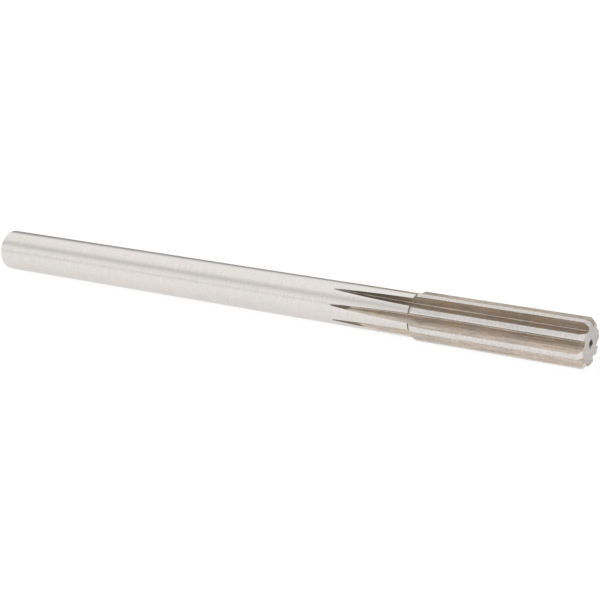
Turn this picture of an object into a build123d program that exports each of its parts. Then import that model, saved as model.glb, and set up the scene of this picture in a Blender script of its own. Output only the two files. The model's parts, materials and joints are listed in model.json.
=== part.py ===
"""A straight-shank machine reamer with eight straight flutes, ground from one bar of high-speed steel.

The tool is first made upright, as it stands between a grinder's centres: its axis is Z, its plain shank
starts at Z 0 and its cutting end is at the top. It is then laid down along X, cutting end toward +X,
the way it comes to rest on a bench: on two neighbouring teeth of the head, with a flute straight below.
Lengths are in millimetres and angles in degrees.
"""

import os
from math import acos, atan2, cos, degrees, hypot, radians, sin, sqrt, tan

from build123d import *

# Bar: a 5/8 inch reamer, 9 inches long, with 2 1/4 inches of cutting head. A short cone joins the head to
# the shank, and the head's length is measured to the middle of it.
reamer_diameter = 15.875
overall_length = 228.6
head_length = 57.15
shank_diameter = 14.24
shank_chamfer = 0.8
head_back_cone = 1.25

# Teeth
flute_count = 8
land_width = 1.75
margin_width = 0.45
relief_angle = 8.0
core_diameter = 9.9
root_radius = 0.3

# Run-out of the flutes into the shank, where the grinding wheel lifts out along a long arc
run_out_radius = 350.0
full_depth_length = 45.8

# Lead at the front of each tooth, which does the cutting
lead_chamfer = 1.3
lead_angle = 45.0
lead_clearance = 7.0

# Centre holes, one in each end
pilot_diameter = 1.3
pilot_depth = 3.5
countersink_diameter = 3.0
countersink_angle = 60.0

# Cutters reach this far into the air round the bar
overshoot = 1.0

head_radius = reamer_diameter / 2
shank_radius = shank_diameter / 2
core_radius = core_diameter / 2
tooth_pitch = 360 / flute_count
land_angle = degrees(land_width / head_radius)
margin_angle = degrees(margin_width / head_radius)
gap_angle = tooth_pitch - land_angle
head_back = overall_length - head_length
run_out_start = overall_length - full_depth_length

# Flute section, with the cutting edge on the local X axis. The rake face lies on that axis, so it is
# radial. The root arc touches the rake face and the core circle, and the straight back of the next
# tooth runs from the root arc out to that tooth's heel on the head's circle.
root_centre_distance = sqrt((core_radius + root_radius) ** 2 - root_radius**2)
heel_x = head_radius * cos(radians(gap_angle))
heel_y = head_radius * sin(radians(gap_angle))
centre_to_heel = hypot(heel_x - root_centre_distance, heel_y - root_radius)
centre_to_heel_angle = degrees(atan2(heel_y - root_radius, heel_x - root_centre_distance))
tangent_angle = degrees(acos(root_radius / centre_to_heel))
back_angle = centre_to_heel_angle + tangent_angle - 90
flute_corner_x = root_centre_distance - root_radius / tan(radians(back_angle / 2))
wheel_clearance = head_radius + overshoot - flute_corner_x

# Relief of a land: a flat that starts behind the margin and drops away to the heel, where it meets the
# back of the tooth. This is the tooth at the far side of the flute, one pitch from the cutting edge.
flat_start = Vector(head_radius, 0).rotate(Axis.Z, tooth_pitch - margin_angle)
flat_direction = Vector(0, -1).rotate(Axis.Z, tooth_pitch - margin_angle - relief_angle)
back_direction = Vector(1, 0).rotate(Axis.Z, back_angle)
start_to_corner = Vector(flute_corner_x, 0) - flat_start
flat_width = start_to_corner.cross(back_direction).Z / flat_direction.cross(back_direction).Z
heel = flat_start + flat_direction * flat_width

# Lead, measured in the plane of the rake face
lead_depth = lead_chamfer * tan(radians(lead_angle))
lead_reach = hypot(lead_chamfer, lead_depth)

# Wheel path of one flute: a straight stretch through the head, then the arc in which the wheel lifts
# along the middle plane of the V, so that both sides of the flute close in to a point
lift_arc = degrees(acos(1 - (wheel_clearance + overshoot) / run_out_radius))
lift_direction = Vector(1, 0).rotate(Axis.Z, back_angle / 2)
root_bottom = Vector(root_centre_distance, root_radius, run_out_start) - lift_direction * root_radius
arc_centre = root_bottom + lift_direction * run_out_radius
with BuildPart() as flute:
    with BuildSketch(Plane.XY.offset(run_out_start)) as flute_section:
        with BuildLine():
            rake = PolarLine((flute_corner_x, 0), wheel_clearance, 0)
            back = PolarLine((flute_corner_x, 0), wheel_clearance / cos(radians(back_angle)), back_angle)
            Line(rake @ 1, back @ 1)
        make_face()
        fillet(flute_section.vertices().sort_by(Axis.X)[0], root_radius)
    extrude(amount=overall_length - run_out_start + overshoot)
    revolve(flute_section.sketch, Axis(arc_centre, lift_direction.rotate(Axis.Z, 90)), -lift_arc)

# Wedge between the head's circle and the relief flat of one land
with BuildPart() as relief:
    margin_end = Plane.XY.offset(head_back - overshoot).rotated((0, 0, -margin_angle))
    with BuildSketch(margin_end):
        with BuildLine():
            flat = PolarLine((head_radius, 0), flat_width + overshoot, -90 - relief_angle)
            Polyline(flat @ 1, (head_radius + overshoot, (flat @ 1).Y), (head_radius, 0))
        make_face()
    extrude(amount=head_length + 2 * overshoot)

# Block that grinds the lead of one tooth, tilted so that only the cutting edge keeps its full height
lead_tangent = Vector(-sin(radians(lead_angle)), 0, cos(radians(lead_angle)))
lead_outward = Vector(cos(radians(lead_angle)), 0, sin(radians(lead_angle)))
behind_edge = Vector(0, -1, 0)
lead_normal = lead_outward * cos(radians(lead_clearance)) + behind_edge * sin(radians(lead_clearance))
with BuildPart() as lead:
    edge_start = (head_radius, 0, overall_length - lead_chamfer)
    with BuildSketch(Plane(origin=edge_start, x_dir=lead_tangent, z_dir=lead_normal)):
        Rectangle(4 * lead_reach, 4 * lead_reach)
    extrude(amount=2 * lead_reach)

# Turned bar, with a centre hole in each end
with BuildPart() as bar:
    with BuildSketch(Plane.XZ):
        with BuildLine():
            Polyline(
                (0, 0),
                (shank_radius - shank_chamfer, 0),
                (shank_radius, shank_chamfer),
                (shank_radius, head_back - head_back_cone / 2),
                (head_radius, head_back + head_back_cone / 2),
                (head_radius, overall_length),
                (0, overall_length),
                (0, 0),
            )
        make_face()
    revolve(axis=Axis.Z)
    for end in (bar.faces().sort_by(Axis.Z)[0], bar.faces().sort_by(Axis.Z)[-1]):
        with Locations(Plane(end)):
            CounterSinkHole(pilot_diameter / 2, countersink_diameter / 2, pilot_depth, countersink_angle)

# The two lowest teeth touch the bench with the cutting edge of one and the heel of the next, which the
# relief has brought in a little, so the tool turns until both are at one height.
edge_from_bottom = atan2(head_radius - heel.X, heel.Y)
first_edge = -90 - degrees(edge_from_bottom)

with BuildPart() as ground:
    add(bar.part)
    with PolarLocations(0, flute_count, start_angle=first_edge):
        add(relief.part, mode=Mode.SUBTRACT)
        add(flute.part, mode=Mode.SUBTRACT)
        add(lead.part, mode=Mode.SUBTRACT)

# The lands widen a little at the back of the head, where the wheel has begun to lift, so the height of
# the axis above the bench is taken from the ground bar itself.
axis_height = -ground.part.bounding_box().min.Y
bench = Plane(origin=(-overall_length / 2, 0, axis_height), x_dir=(0, 1, 0), z_dir=(1, 0, 0))
with BuildPart() as reamer:
    with Locations(bench.location):
        add(ground.part)

os.makedirs("parts", exist_ok=True)
reamer.part.label = "reamer"
export_step(reamer.part, "parts/reamer.step")
print("core diameter", core_diameter, "back angle", round(back_angle, 1), "axis height", round(axis_height, 3))
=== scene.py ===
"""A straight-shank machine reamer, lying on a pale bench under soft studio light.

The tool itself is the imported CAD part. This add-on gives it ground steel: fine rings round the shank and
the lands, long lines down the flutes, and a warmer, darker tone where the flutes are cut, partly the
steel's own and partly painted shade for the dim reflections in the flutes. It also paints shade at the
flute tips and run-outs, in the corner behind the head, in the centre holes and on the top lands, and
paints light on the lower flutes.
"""

import json
from types import SimpleNamespace

import bpy
from bpy.props import FloatProperty, FloatVectorProperty, PointerProperty
from mathutils import Matrix, Vector


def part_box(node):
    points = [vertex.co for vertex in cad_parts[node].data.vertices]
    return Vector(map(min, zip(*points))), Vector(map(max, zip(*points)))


bl_info = {
    "name": "Machine reamer",
    "version": (1, 0, 0),
    "blender": (4, 5, 0),
    "location": "View3D > Sidebar > Reamer",
    "description": "Ground steel finish and a studio stage for a straight-shank machine reamer",
    "category": "Object",
}

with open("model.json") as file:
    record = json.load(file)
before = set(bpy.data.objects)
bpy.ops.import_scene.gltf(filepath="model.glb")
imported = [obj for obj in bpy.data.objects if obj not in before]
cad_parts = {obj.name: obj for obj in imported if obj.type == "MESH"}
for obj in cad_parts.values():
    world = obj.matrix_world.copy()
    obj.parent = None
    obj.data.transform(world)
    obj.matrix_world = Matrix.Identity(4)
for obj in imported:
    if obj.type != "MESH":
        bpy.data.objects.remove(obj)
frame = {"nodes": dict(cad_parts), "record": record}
tool_low, tool_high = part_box("reamer")
axis_height = (tool_low.z + tool_high.z) / 2
front_end = tool_high.x
mounts = {mount["name"]: mount["dims"] for mount in frame["record"]["mounts"]}
shank_radius = mounts["shank"]["r_mm"] / 1000
centre_radius = mounts["front_centre"]["r_mm"] / 1000
head_back = front_end - mounts["cutting_head"]["length_mm"] / 1000

# Lengths in metres that the record doesn't state
flute_length = 0.0857  # from the front end to the tip of a flute
head_cone = 0.00125  # length of the short cone behind the head
top_lands = 0.0065  # height over the axis at which the top lands begin
ragged_depth = 0.005  # how far the edge of the painted shade at the flute tips wanders along a flute
mark_depth = 0.00001  # depth of the marks of wheel and lathe

# Lengths over which one finish gives way to the next
soft_edge = 0.0001
long_fade = 0.002

tips = front_end - flute_length
# The line of painted shade in the corner behind the head
dark_line = head_back - head_cone / 2 + soft_edge


class SteelSettings(bpy.types.PropertyGroup):
    """Colours and finishes of the ground steel"""

    ground: FloatVectorProperty(
        name="Ground steel",
        description="Colour of the ground shank and lands",
        subtype="COLOR",
        default=(0.78, 0.745, 0.715),
        min=0,
        max=1,
    )
    # The darker, warmer flute colour is partly the steel's own and partly painted shade for the dim
    # reflections inside the flutes
    flute: FloatVectorProperty(
        name="Flute steel",
        description="Colour of the steel inside the flutes",
        subtype="COLOR",
        default=(0.567, 0.498, 0.43),
        min=0,
        max=1,
    )
    end: FloatVectorProperty(
        name="End faces",
        description="Colour of the rougher steel of the two end faces",
        subtype="COLOR",
        default=(0.585, 0.545, 0.51),
        min=0,
        max=1,
    )
    # Colour of the painted shade at the flute tips and run-outs, in the corner behind the head and in the
    # centre holes
    scale: FloatVectorProperty(
        name="Furnace scale",
        description="Colour of the steel that no wheel has touched since hardening",
        subtype="COLOR",
        default=(0.19, 0.157, 0.125),
        min=0,
        max=1,
    )
    ground_roughness: FloatProperty(
        name="Ground roughness",
        description="Roughness of the ground shank and lands",
        default=0.22,
        min=0,
        max=1,
    )
    flute_roughness: FloatProperty(
        name="Flute roughness",
        description="Roughness inside the flutes",
        default=0.38,
        min=0,
        max=1,
    )
    end_roughness: FloatProperty(
        name="End face roughness",
        description="Roughness of the two end faces",
        default=0.42,
        min=0,
        max=1,
    )
    # Length of the painted shade at the tip of each flute
    scale_length: FloatProperty(
        name="Scale at the tips",
        description="Length at the tip of each flute that still has its furnace scale",
        unit="LENGTH",
        default=0.0085,
        min=0,
    )
    ring_pitch: FloatProperty(
        name="Ring pitch",
        description="Distance between grinding rings on the shank and the lands",
        unit="LENGTH",
        default=0.0005,
        min=0.0001,
    )
    line_pitch: FloatProperty(
        name="Line pitch",
        description="Distance between the long grinding lines in a flute",
        unit="LENGTH",
        default=0.0004,
        min=0.0001,
    )


class StageSettings(bpy.types.PropertyGroup):
    """Floor, light and camera"""

    floor_radius: FloatProperty(
        name="Floor radius",
        description="How far the floor reaches from the tool",
        unit="LENGTH",
        default=15,
        min=1,
    )
    floor_colour: FloatVectorProperty(
        name="Floor colour",
        description="Colour of the floor",
        subtype="COLOR",
        default=(0.93, 0.93, 0.93),
        min=0,
        max=1,
    )
    floor_seen: FloatProperty(
        name="White of the floor",
        description="Share of plain white that the camera sees in the floor",
        subtype="FACTOR",
        default=0.88,
        min=0,
        max=1,
    )
    floor_seen_strength: FloatProperty(
        name="Strength of that white",
        description="Brightness of the white that the camera sees in the floor",
        default=1.06,
        min=0,
    )
    floor_reflected: FloatProperty(
        name="White of the reflected floor",
        description="Share of plain white that the metal reflects from the floor",
        subtype="FACTOR",
        default=0.55,
        min=0,
        max=1,
    )
    floor_reflected_strength: FloatProperty(
        name="Strength of the reflected white",
        description="Brightness of the white that the metal reflects from the floor",
        default=1.15,
        min=0,
    )
    floor_falloff: FloatProperty(
        name="Falloff of the reflected white",
        description="Share of the reflected white that is lost farther out on the floor",
        subtype="FACTOR",
        default=0.9,
        min=0,
        max=1,
    )
    studio_light: FloatProperty(
        name="Studio light",
        description="Brightness of the studio walls",
        default=1.0,
        min=0,
    )
    camera_place: FloatVectorProperty(
        name="Camera place",
        description="Where the camera stands",
        subtype="TRANSLATION",
        default=(0.25959, -0.40834, 0.10906),
    )
    camera_aim: FloatVectorProperty(
        name="Camera aim",
        description="Point at the middle of the picture",
        subtype="TRANSLATION",
        default=(0.012714, 0, 0.00639),
    )
    camera_roll: FloatProperty(
        name="Camera roll",
        description="Turn of the camera about its line of sight",
        subtype="ANGLE",
        default=0.037125,
    )
    camera_lens: FloatProperty(
        name="Focal length",
        description="Focal length on a 36 mm sensor",
        subtype="DISTANCE_CAMERA",
        default=88.084,
        min=1,
    )


class Socket:
    """One output socket of a node tree, so that shader maths reads as plain expressions"""

    def __init__(self, graph, output):
        self.graph = graph
        self.output = output

    def math(self, operation, *others):
        """One Math node: this socket is its first value, and the others follow"""
        values = dict(enumerate((self, *others)))
        return self.graph.node("ShaderNodeMath", {"operation": operation}, values)

    def __add__(self, other):
        return self.math("ADD", other)

    def __radd__(self, other):
        return self.math("ADD", other)

    def __sub__(self, other):
        return self.math("SUBTRACT", other)

    def __rsub__(self, other):
        return self.graph.node("ShaderNodeMath", {"operation": "SUBTRACT"}, {0: other, 1: self})

    def __mul__(self, other):
        return self.math("MULTIPLY", other)

    def __rmul__(self, other):
        return self.math("MULTIPLY", other)

    def __truediv__(self, other):
        return self.math("DIVIDE", other)

    def __pow__(self, other):
        return self.math("POWER", other)


class Graph:
    """A material's or the world's node tree"""

    def __init__(self, owner):
        owner.use_nodes = True
        self.tree = owner.node_tree
        self.tree.nodes.clear()

    def node(self, kind, settings, values, output=0):
        """Adds one node: its settings first, then the values or links of its sockets"""
        made = self.tree.nodes.new(kind)
        for name, value in settings.items():
            if name == "stops":
                self.set_stops(made.color_ramp, value)
            else:
                setattr(made, name, value)
        for key, value in values.items():
            if isinstance(value, Socket):
                self.tree.links.new(value.output, made.inputs[key])
            else:
                made.inputs[key].default_value = value
        return Socket(self, made.outputs[output]) if made.outputs else made

    def set_stops(self, ramp, stops):
        """Gives a colour ramp its positions and colours, in rising order"""
        while len(ramp.elements) < len(stops):
            ramp.elements.new(1)
        for element, (position, colour) in zip(ramp.elements, stops):
            element.position = position
            element.color = colour

    def step(self, value, low, high):
        """0 below low, 1 above high, and a smooth rise between"""
        values = {"Value": value, "From Min": low, "From Max": high}
        return self.node("ShaderNodeMapRange", {"interpolation_type": "SMOOTHSTEP"}, values)

    def shade(self, colour, share):
        """A colour made lighter or darker by a number"""
        return self.node("ShaderNodeVectorMath", {"operation": "SCALE"}, {0: colour, "Scale": share})

    def tint(self, colour, shares):
        """A colour whose red, green and blue are each made lighter or darker"""
        return self.node("ShaderNodeVectorMath", {"operation": "MULTIPLY"}, {0: colour, 1: shares})

    def noise(self, vector, detail=2):
        """Noise that varies round 0, with one cell to each unit of the vector"""
        values = {"Vector": vector, "Scale": 1, "Detail": detail}
        return self.node("ShaderNodeTexNoise", {}, values, "Fac") - 0.5

    def greys(self, value, levels):
        """Grey levels set along a value, with straight blends between them"""
        stops = [(position, (level, level, level, 1)) for position, level in levels]
        return self.node("ShaderNodeValToRGB", {"stops": stops}, {"Fac": value})

    def vector(self, x, y, z):
        """A vector put together from three numbers"""
        return self.node("ShaderNodeCombineXYZ", {}, {"X": x, "Y": y, "Z": z})

    def split(self, vector):
        """The three numbers of a vector"""
        made = self.node("ShaderNodeSeparateXYZ", {}, {"Vector": vector}).output.node
        return [Socket(self, output) for output in made.outputs]

    def blend(self, factor, first, second):
        """Mix of two colours"""
        made = self.node("ShaderNodeMix", {"data_type": "RGBA"}, {"Factor": factor}).output.node
        for socket, value in ((made.inputs[6], first), (made.inputs[7], second)):
            if isinstance(value, Socket):
                self.tree.links.new(value.output, socket)
            else:
                socket.default_value = (*value, 1)
        return Socket(self, made.outputs[2])

    def blend_numbers(self, factor, first, second):
        """Mix of two numbers"""
        return first + factor * (second - first)

    def finish(self, kind, shader):
        """Adds the output node, fed by the shader"""
        self.node(kind, {}, {"Surface": shader})


def tool_surface(graph):
    """Where a point lies, which way the surface faces there, a mask for each part of the tool, and masks
    for painted shade

    The distance from the axis and the way the surface faces tell the parts apart: lands and shank face
    straight outward, flutes face sideways, and end faces look along the axis.
    """
    x, y, z = graph.split(graph.node("ShaderNodeTexCoord", {}, {}, "Object"))
    slope, across, rise = graph.split(graph.node("ShaderNodeTexCoord", {}, {}, "Normal"))
    up = z - axis_height
    radius = (y * y + up * up) ** 0.5
    outward = (across * y + rise * up) / radius
    steep = slope.math("ABSOLUTE")

    facing_along = graph.step(steep, 0.85, 0.95)
    past_eye = graph.step(radius, centre_radius * 0.5, centre_radius * 0.6)
    on_end = facing_along * past_eye
    in_centre = graph.step(radius, centre_radius + soft_edge, centre_radius) * (1 - on_end)
    # The painted shade at the core of a centre hole is wider than it is high
    from_eye = radius + up.math("ABSOLUTE") * 0.5
    core_shade = graph.step(from_eye, centre_radius + soft_edge * 4, centre_radius) * in_centre

    facing_aside = graph.step(outward, 0.96, 0.92)
    below_shank = graph.step(radius, shank_radius - soft_edge * 0.6, shank_radius - soft_edge)
    facing_across = graph.step(steep, 0.3, 0.2)
    in_flute = facing_across * facing_aside.math("MAXIMUM", below_shank) * (1 - in_centre)

    # Painted shade in the corner behind the head, on the shank and lands but not in the flutes
    from_line = (x - dark_line).math("ABSOLUTE")
    corner_shade = graph.step(from_line, soft_edge * 4, soft_edge * 2) * (1 - in_flute) * (1 - on_end)
    on_head = graph.step(x, head_back, head_back + long_fade)
    # Painted shade: the top lands of the head are made darker
    top_land_shade = on_head * graph.step(up, top_lands - long_fade / 4, top_lands) * (1 - in_flute)
    return SimpleNamespace(
        x=x,
        y=y,
        up=up,
        radius=radius,
        turn=up.math("ARCTAN2", y),
        forward=(rise * y - across * up) / radius,
        on_end=on_end,
        in_centre=in_centre,
        core_shade=core_shade,
        in_flute=in_flute,
        corner_shade=corner_shade,
        on_head=on_head,
        top_land_shade=top_land_shade,
    )


def tool_marks(graph, spot, settings):
    """What the wheels, the lathe and handling left on the steel, as patterns that vary round 0

    Rings and turned marks go round the axis, and the others run along the tool.
    """

    def pattern(along, across, detail=2):
        """Noise with so many cells to the metre along the tool and across it"""
        return graph.noise(graph.vector(spot.x * along, spot.y * across, spot.up * across), detail)

    per_ring = 1 / settings.ring_pitch
    per_line = 1 / settings.line_pitch
    per_radian = 1.5
    return SimpleNamespace(
        rings=graph.noise(graph.vector(spot.x * per_ring, spot.turn * per_radian, 0.0), 3),
        turned=graph.noise(graph.vector(spot.radius * per_line, spot.turn, spot.x)),
        lines=pattern(60, per_line, 4),
        streaks=pattern(90, per_line * 0.5, 4),
        scratches=pattern(450, per_line * 0.7),
        chatter=pattern(per_ring, 400, 1),
        smudges=pattern(60, 300, 4),
        stain=pattern(120, 200),
        grain=pattern(1500, 1500),
    )


def painted_shade_share(graph, spot, marks, settings):
    """Share of the surface that gets the dark colour of painted shade

    The painted shade is thick at the tip of each flute, with a ragged edge, and reaches farther in the
    flutes at the top and bottom than in those at the middle height. It is thin over the whole run-out of
    the upper flutes. A faint band of it runs on along the tooth back that lies nearly level. It is also
    painted in the corner behind the head and in the centre holes.
    """
    off_middle = spot.up.math("ABSOLUTE") / shank_radius
    reach = tips + settings.scale_length * (0.85 + off_middle * 0.7)
    ragged = spot.x + marks.lines * ragged_depth
    on_back = graph.step(spot.forward, 0.0, -0.3)
    on_upper = graph.step(spot.up, 0.001, 0.002)
    below_film = graph.step(spot.up, 0.0052, 0.0046)
    run_out = on_upper * graph.step(spot.x, head_back + 0.005, head_back - 0.009)
    # Painted shade: thick at the flute tips, thin over the upper run-outs, and faint along the nearly
    # level tooth back
    tip_shade = graph.step(ragged, reach, reach - long_fade) * (0.95 - run_out * 0.35)
    run_out_shade = run_out * (0.35 + on_back * 0.35 + marks.lines * 0.4)
    back_shade = on_upper * below_film * on_back * 0.13
    in_flutes = tip_shade.math("MAXIMUM", run_out_shade).math("MAXIMUM", back_shade) * spot.in_flute
    # Painted shade also in the corner behind the head and, at 0.7, in the centre holes
    return in_flutes.math("MAXIMUM", spot.corner_shade).math("MAXIMUM", spot.in_centre * 0.7)


def steel_colour(graph, spot, marks, painted_shade, settings):
    """Colour of each part, made lighter and darker by the marks and warmer and cooler by stains

    Each mark's number says how far it changes the steel, as a share of the steel's own colour. Painted
    shade makes the top lands darker and a little warmer than the others, and painted light makes the lower
    flutes lighter.
    """
    colour = graph.blend(spot.in_flute, tuple(settings.ground), tuple(settings.flute))
    colour = graph.blend(spot.on_end, colour, tuple(settings.end))
    colour = graph.blend(painted_shade, colour, tuple(settings.scale))

    # Painted light: the lower flutes are made lighter
    lower_flute_light = graph.step(spot.up, 0.0, -0.004)
    # Ring marks, less the painted shade on the top lands
    rings_and_top_shade = marks.rings * 0.18 - spot.top_land_shade * 0.17
    flute_marks_and_light = marks.streaks * 0.6 + marks.lines * 0.8 + marks.scratches * 0.45
    flute_marks_and_light = flute_marks_and_light + marks.chatter * 0.15 + lower_flute_light * 0.08
    end_marks = marks.smudges * 0.6 + marks.grain * 0.6
    mottle = marks.grain * (0.15 + spot.on_head * 0.25) + marks.stain * (0.05 + spot.on_head * 0.13)
    marks_and_painted_light = graph.blend_numbers(spot.in_flute, rings_and_top_shade, flute_marks_and_light) + mottle
    marks_and_painted_light = marks_and_painted_light + spot.on_end * end_marks
    # Painted shade darkens the core of each centre hole
    colour = graph.shade(colour, (1 + marks_and_painted_light) * (1 - spot.core_shade * 0.8))

    # Warmer by stains, and a little warmer on the shaded top lands
    warm = marks.stain * (0.06 + spot.in_flute * 0.1) + spot.top_land_shade * 0.02
    return graph.tint(colour, graph.vector(1 + warm, 1.0, 1 - warm))


def ground_steel(settings):
    """One material for the whole bar: colour, roughness and the fine relief of the wheel's marks"""
    material = bpy.data.materials.new("ground steel")
    graph = Graph(material)
    spot = tool_surface(graph)
    marks = tool_marks(graph, spot, settings)
    painted_shade = painted_shade_share(graph, spot, marks, settings)

    relief = graph.blend_numbers(spot.in_flute, marks.rings, marks.lines)
    relief = graph.blend_numbers(spot.on_end, relief, marks.turned)
    bump = graph.node("ShaderNodeBump", {}, {"Strength": 0.2, "Distance": mark_depth, "Height": relief})
    roughness = graph.blend_numbers(spot.in_flute, settings.ground_roughness, settings.flute_roughness)
    roughness = graph.blend_numbers(spot.on_end, roughness, settings.end_roughness)
    values = {
        "Base Color": steel_colour(graph, spot, marks, painted_shade, settings),
        "Metallic": 1.0,
        "Roughness": roughness + marks.smudges * 0.06 + relief * 0.05,
        "Normal": bump,
    }
    graph.finish("ShaderNodeOutputMaterial", graph.node("ShaderNodeBsdfPrincipled", {}, values))
    return material


def floor_material(settings):
    """Pale floor that keeps the tool's shadow and still reads as the white behind it

    What the metal reflects of it grows dimmer farther out, so that the tool's sides keep their tone.
    """
    near = 0.08
    far = 0.3
    material = bpy.data.materials.new("pale floor")
    graph = Graph(material)
    x, y = graph.split(graph.node("ShaderNodeTexCoord", {}, {}, "Object"))[:2]
    far_out = graph.step((x * x + y * y) ** 0.5, near, far)
    reflected = settings.floor_reflected * (1 - far_out * settings.floor_falloff)
    surface = graph.node("ShaderNodeBsdfDiffuse", {}, {"Color": (*settings.floor_colour, 1)})
    for seen_by, share, strength in (
        ("Is Camera Ray", settings.floor_seen, settings.floor_seen_strength),
        ("Is Glossy Ray", reflected, settings.floor_reflected_strength),
    ):
        path = graph.node("ShaderNodeLightPath", {}, {}, seen_by)
        white = graph.node("ShaderNodeEmission", {}, {"Color": (1, 1, 1, 1), "Strength": strength})
        surface = graph.node("ShaderNodeMixShader", {}, {0: path * share, 1: surface, 2: white})
    graph.finish("ShaderNodeOutputMaterial", surface)
    return material


def studio_world(settings):
    """Studio walls: a pale front wall and ceiling, and a dim wall behind the tool, low down

    The grey levels of each wall go from the horizon, at 0, to straight up, at 1.
    """
    world = bpy.data.worlds.new("studio")
    graph = Graph(world)
    across, height = graph.split(graph.node("ShaderNodeTexCoord", {}, {}, "Generated"))[1:]
    front_low = ((0, 0.72), (0.07, 0.95), (0.28, 0.98), (0.43, 0.84))
    front_high = ((0.53, 0.65), (0.6, 0.7), (0.68, 0.9), (0.76, 1), (1, 1))
    back_low = ((0, 0.27), (0.38, 0.32), (0.47, 0.5))
    back_high = ((0.55, 0.92), (0.62, 1), (1, 1))
    front = graph.greys(height, front_low + front_high)
    back = graph.greys(height, back_low + back_high)
    walls = graph.blend_numbers(graph.step(across, -0.1, 0.3), front, back) * settings.studio_light
    seen = graph.node("ShaderNodeLightPath", {}, {}, "Is Camera Ray")
    strength = graph.blend_numbers(seen, walls, 1.0)
    light = graph.node("ShaderNodeBackground", {}, {"Color": (1, 1, 1, 1), "Strength": strength})
    graph.finish("ShaderNodeOutputWorld", light)
    return world


def make_floor(settings):
    """A flat square round the tool, at height zero"""
    reach = settings.floor_radius
    mesh = bpy.data.meshes.new("floor")
    corners = [(-reach, -reach, 0), (reach, -reach, 0), (reach, reach, 0), (-reach, reach, 0)]
    mesh.from_pydata(corners, [], [(0, 1, 2, 3)])
    mesh.materials.append(floor_material(settings))
    floor = bpy.data.objects.new("floor", mesh)
    bpy.context.scene.collection.objects.link(floor)


def make_camera(settings):
    """A camera at the settings' place, turned about its line of sight by the roll"""
    lens = bpy.data.cameras.new("camera")
    lens.lens = settings.camera_lens
    lens.sensor_width = 36
    camera = bpy.data.objects.new("camera", lens)
    place = Vector(settings.camera_place)
    look = (Vector(settings.camera_aim) - place).to_track_quat("-Z", "Y").to_matrix()
    turned = look @ Matrix.Rotation(settings.camera_roll, 3, "Z")
    camera.matrix_world = Matrix.Translation(place) @ turned.to_4x4()
    bpy.context.scene.collection.objects.link(camera)
    bpy.context.scene.camera = camera


class REAMER_OT_finish_steel(bpy.types.Operator):
    """Gives the reamer its ground steel finish"""

    bl_idname = "reamer.finish_steel"
    bl_label = "Finish the steel"

    def execute(self, context):
        tool = frame["nodes"]["reamer"]
        tool.data.materials.clear()
        tool.data.materials.append(ground_steel(context.scene.reamer_steel))
        return {"FINISHED"}


class REAMER_OT_set_stage(bpy.types.Operator):
    """Sets up the floor, the light and the camera"""

    bl_idname = "reamer.set_stage"
    bl_label = "Set the stage"

    def execute(self, context):
        settings = context.scene.reamer_stage
        make_floor(settings)
        context.scene.world = studio_world(settings)
        make_camera(settings)
        context.scene.view_settings.view_transform = "Standard"
        return {"FINISHED"}


class REAMER_PT_panel(bpy.types.Panel):
    """Sizes, colours and steps of the reamer's scene"""

    bl_label = "Reamer"
    bl_space_type = "VIEW_3D"
    bl_region_type = "UI"
    bl_category = "Reamer"

    def draw(self, context):
        for settings, operator in (
            (context.scene.reamer_steel, REAMER_OT_finish_steel),
            (context.scene.reamer_stage, REAMER_OT_set_stage),
        ):
            box = self.layout.box()
            for name in settings.bl_rna.properties.keys():
                if name not in ("rna_type", "name"):
                    box.prop(settings, name)
            box.operator(operator.bl_idname)


CLASSES = (
    SteelSettings,
    StageSettings,
    REAMER_OT_finish_steel,
    REAMER_OT_set_stage,
    REAMER_PT_panel,
)


def register():
    for each in CLASSES:
        bpy.utils.register_class(each)
    bpy.types.Scene.reamer_steel = PointerProperty(type=SteelSettings)
    bpy.types.Scene.reamer_stage = PointerProperty(type=StageSettings)


def unregister():
    del bpy.types.Scene.reamer_stage
    del bpy.types.Scene.reamer_steel
    for each in reversed(CLASSES):
        bpy.utils.unregister_class(each)


def main():
    """Registers the add-on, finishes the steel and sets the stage"""
    register()
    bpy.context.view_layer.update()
    bpy.ops.reamer.finish_steel()
    bpy.ops.reamer.set_stage()


if __name__ == "__main__":
    main()
